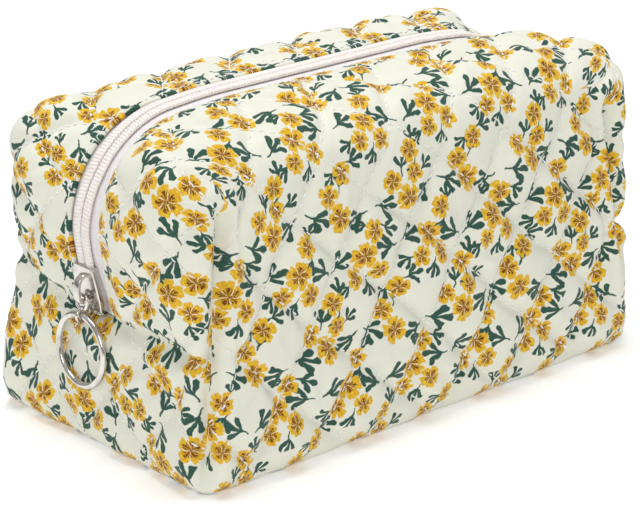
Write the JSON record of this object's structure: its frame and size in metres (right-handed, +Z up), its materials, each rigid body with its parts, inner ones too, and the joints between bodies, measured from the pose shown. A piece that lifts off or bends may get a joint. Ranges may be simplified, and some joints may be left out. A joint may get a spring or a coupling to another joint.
{
  "type": "makeup bag",
  "caption": "Boxy quilted cotton makeup pouch with a floral print and a coil zip over the top, closed by a slider with a ring pull.",
  "frame": {"origin": "middle of the flat base, on the surface the bag stands on", "axes": "+Z up; +X along the bag, away from the end where the closed zip's slider rests; -Y out of the front wall"},
  "size_m": [0.1933, 0.1038, 0.1003],
  "materials": {
    "printed_cotton": "off-white cotton with a small yellow flower print",
    "wadding": "soft polyester wadding",
    "lining": "plain off-white cotton",
    "zip_tape": "woven polyester tape, pinkish cream",
    "zip_coil": "nylon coil, pinkish cream",
    "thread": "off-white sewing thread",
    "binding": "folded cotton tape",
    "nickel": "polished nickel plate"
  },
  "bodies": {
    "bag_base": {"outer_shell_base": "printed_cotton", "wadding_base": "wadding", "lining_base": "lining", "end_seam_binding_left": "binding", "end_seam_binding_right": "binding", "lower_corner_binding_front_left": "binding", "lower_corner_binding_front_right": "binding", "lower_corner_binding_rear_left": "binding", "lower_corner_binding_rear_right": "binding"},
    "front_mouth": {"outer_shell_front": "printed_cotton", "wadding_front": "wadding", "lining_front": "lining", "zip_tape_front": "zip_tape", "zip_coil_front": "zip_coil", "zip_stitching_front": "thread", "upper_corner_binding_front_left": "binding", "upper_corner_binding_front_right": "binding"},
    "rear_mouth": {"outer_shell_rear": "printed_cotton", "wadding_rear": "wadding", "lining_rear": "lining", "zip_tape_rear": "zip_tape", "zip_coil_rear": "zip_coil", "zip_stitching_rear": "thread", "upper_corner_binding_rear_left": "binding", "upper_corner_binding_rear_right": "binding"},
    "slider": {"slider_body": "nickel"},
    "pull_link": {"pull_link": "nickel"},
    "pull_ring": {"pull_ring": "nickel"}
  },
  "joints": [
    {"name": "front_mouth_open", "type": "hinge", "parent": "bag_base", "child": "front_mouth", "pos_m": [0, -0.04883, 0.04315], "axis": [1, 0, 0], "range_deg": [0, 40], "deforming": ["zip_tape_front", "zip_coil_front"]},
    {"name": "rear_mouth_open", "type": "hinge", "parent": "bag_base", "child": "rear_mouth", "pos_m": [0, 0.04883, 0.04315], "axis": [-1, 0, 0], "range_deg": [0, 40], "deforming": ["zip_tape_rear", "zip_coil_rear"]},
    {"name": "slider_travel", "type": "slide", "parent": "bag_base", "child": "slider", "axis": [-0.1392, 0, 0.9903], "range_m": [0, 0.02], "deforming": ["zip_tape_front", "zip_tape_rear", "zip_coil_front", "zip_coil_rear"]},
    {"name": "link_swing", "type": "hinge", "parent": "slider", "child": "pull_link", "pos_m": [-0.09456, 0.005, 0.0497], "axis": [0, -1, 0], "range_deg": [-105, 0]},
    {"name": "ring_swing", "type": "hinge", "parent": "pull_link", "child": "pull_ring", "pos_m": [-0.09525, 0.005, 0.04316], "axis": [0, 1, 0], "range_deg": [0, 100]}
  ]
}
